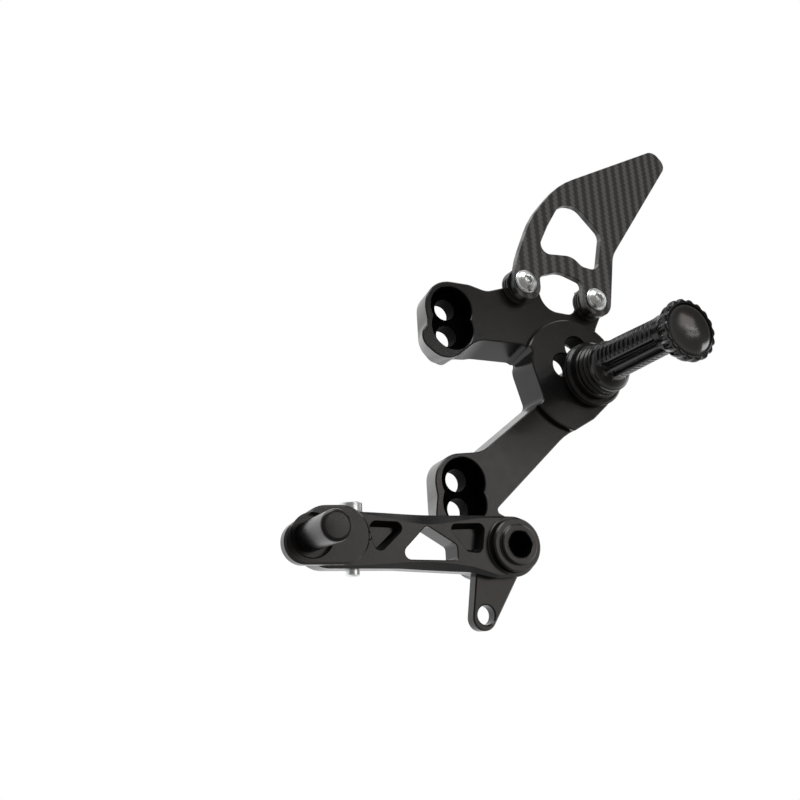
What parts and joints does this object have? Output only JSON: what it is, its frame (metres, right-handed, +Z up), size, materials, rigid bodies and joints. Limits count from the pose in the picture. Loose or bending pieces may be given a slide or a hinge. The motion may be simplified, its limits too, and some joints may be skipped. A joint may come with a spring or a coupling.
{
  "type": "motorcycle rearset foot peg assembly",
  "caption": "Rear-set foot peg assembly: bracket plate with foot peg, heel guard and swinging shift lever with a clamped toe peg.",
  "frame": {"origin": "midway between the two upper frame holes, on the face that meets the motorcycle's frame", "axes": "+X to the rear of the motorcycle, +Y inboard to the motorcycle's frame, +Z up; the foot peg stands out along -Y"},
  "size_m": [0.2375, 0.093, 0.2669],
  "materials": {
    "plate_anodised": "satin charcoal anodised",
    "lever_anodised": "satin charcoal anodised",
    "peg_anodised": "satin dark anodised, toothed grip",
    "ring_metal": "turned, satin",
    "toe_anodised": "satin charcoal anodised",
    "carbon_laminate": "twill carbon laminate, semi-matt resin",
    "zinc_steel": "bright zinc plated",
    "black_steel": "black oxide",
    "bronze": "sintered bronze"
  },
  "bodies": {
    "bracket": {"bracket_plate": "plate_anodised", "heel_guard": "carbon_laminate", "guard_spacers": "ring_metal", "guard_screws": "zinc_steel", "peg_base_flange": "ring_metal", "peg_lock_ring": "ring_metal", "foot_peg": "peg_anodised", "peg_end_cap": "peg_anodised", "peg_cap_stud": "zinc_steel", "peg_mount_bolt": "black_steel", "peg_bolt_washer": "zinc_steel", "peg_dowel": "zinc_steel", "pivot_shim": "ring_metal", "pivot_bolt": "lever_anodised"},
    "lever": {"shift_lever": "lever_anodised", "pivot_bush_inboard": "bronze", "pivot_bush_outboard": "bronze", "pinch_bolt": "zinc_steel"},
    "toe": {"toe_carrier": "toe_anodised", "toe_peg": "toe_anodised", "toe_peg_stud": "zinc_steel"}
  },
  "joints": [
    {"name": "shift_pivot", "type": "hinge", "parent": "bracket", "child": "lever", "pos_m": [0.0152, -0.0245, -0.1135], "axis": [0, -1, 0], "range_deg": [-20, 20]},
    {"name": "toe_clamp", "type": "hinge", "parent": "lever", "child": "toe", "pos_m": [-0.0715, -0.0245, -0.1109], "axis": [0, -1, 0], "range_deg": [-90, 90]}
  ]
}
